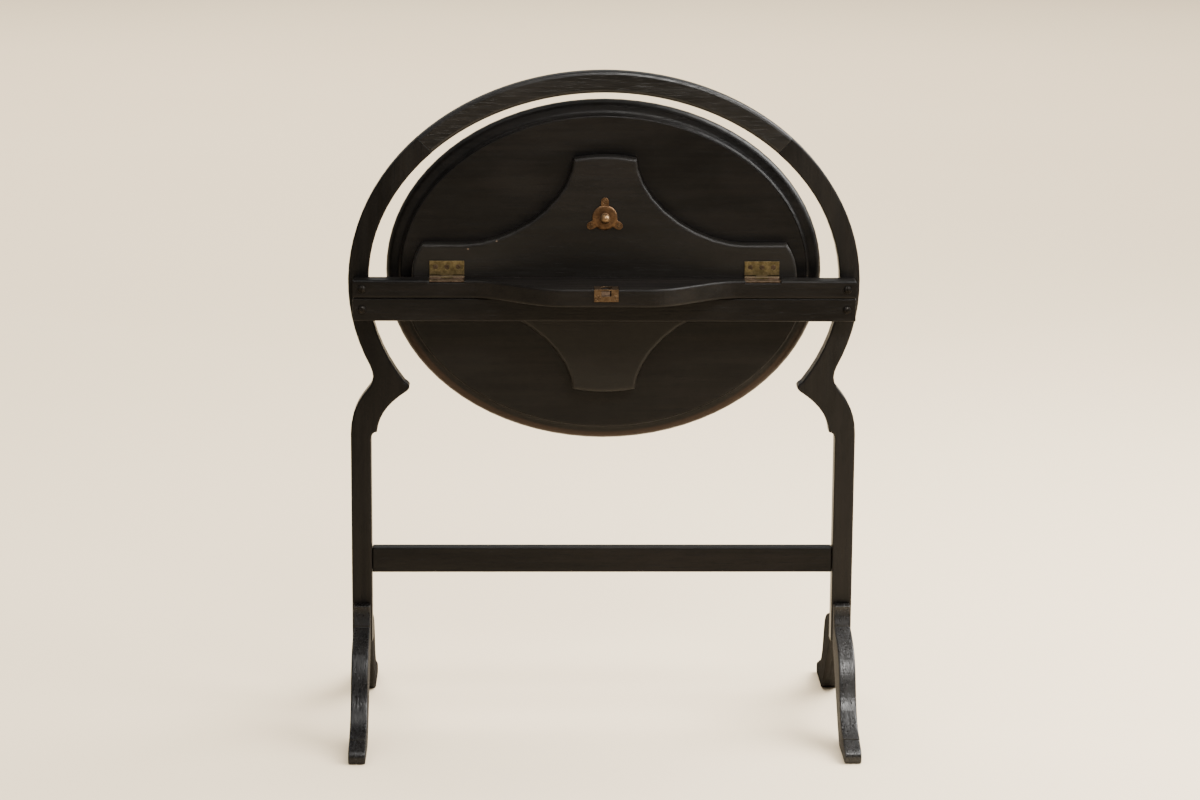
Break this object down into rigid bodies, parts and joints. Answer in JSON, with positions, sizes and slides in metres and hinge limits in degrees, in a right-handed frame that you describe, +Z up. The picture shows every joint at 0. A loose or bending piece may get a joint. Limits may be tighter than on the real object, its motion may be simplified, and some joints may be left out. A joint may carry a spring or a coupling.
{
  "type": "pastry table",
  "caption": "Free-standing pastry table: a hooped frame on splayed feet, with an oval top that tips from upright to level on hinges and is held level by a ball catch.",
  "frame": {"origin": "on the floor, midway between the four feet", "axes": "+Z up, +X along the table to the right as seen from the front, -Y towards the front, the side that the shelf is on"},
  "size_m": [0.5598, 0.348, 0.729],
  "materials": {
    "ebonised_wood": "near-black stained and polished wood with a satin sheen and open grain",
    "dowel_wood": "bare hardwood",
    "aged_brass": "tarnished olive-gold brass, brighter where it rubs",
    "brown_bronze": "brown patinated bronze with a polished ball",
    "black_iron": "black japanned iron",
    "spring_steel": "dull grey spring steel"
  },
  "bodies": {
    "frame": {"hoop_crown": "ebonised_wood", "left_back_foot": "ebonised_wood", "left_crown_dowel": "dowel_wood", "left_foot_dowel_1": "dowel_wood", "left_foot_dowel_2": "dowel_wood", "left_front_foot": "ebonised_wood", "left_hinge_lower_leaf": "aged_brass", "left_hinge_lower_leaf_screw_1": "aged_brass", "left_hinge_lower_leaf_screw_2": "aged_brass", "left_hinge_lower_leaf_screw_3": "aged_brass", "left_hinge_pin": "aged_brass", "left_rail_screw": "black_iron", "left_shelf_screw": "black_iron", "left_strike_screw": "aged_brass", "left_upright": "ebonised_wood", "rail": "ebonised_wood", "right_back_foot": "ebonised_wood", "right_crown_dowel": "dowel_wood", "right_foot_dowel_1": "dowel_wood", "right_foot_dowel_2": "dowel_wood", "right_front_foot": "ebonised_wood", "right_hinge_lower_leaf": "aged_brass", "right_hinge_lower_leaf_screw_1": "aged_brass", "right_hinge_lower_leaf_screw_2": "aged_brass", "right_hinge_lower_leaf_screw_3": "aged_brass", "right_hinge_pin": "aged_brass", "right_rail_screw": "black_iron", "right_shelf_screw": "black_iron", "right_strike_screw": "aged_brass", "right_upright": "ebonised_wood", "shelf": "ebonised_wood", "stretcher": "ebonised_wood", "strike_plate": "aged_brass", "strike_spring": "spring_steel"},
    "top": {"batten": "ebonised_wood", "catch_plate": "brown_bronze", "catch_screw_1": "brown_bronze", "catch_screw_2": "brown_bronze", "catch_screw_3": "brown_bronze", "catch_stud": "brown_bronze", "left_hinge_upper_leaf": "aged_brass", "left_hinge_upper_leaf_screw_1": "aged_brass", "left_hinge_upper_leaf_screw_2": "aged_brass", "left_hinge_upper_leaf_screw_3": "aged_brass", "right_hinge_upper_leaf": "aged_brass", "right_hinge_upper_leaf_screw_1": "aged_brass", "right_hinge_upper_leaf_screw_2": "aged_brass", "right_hinge_upper_leaf_screw_3": "aged_brass", "table_top": "ebonised_wood"}
  },
  "joints": [
    {"name": "top_tilt", "type": "hinge", "parent": "frame", "child": "top", "pos_m": [0, -0.0136, 0.5038], "axis": [1, 0, 0], "range_deg": [0, 90]}
  ]
}
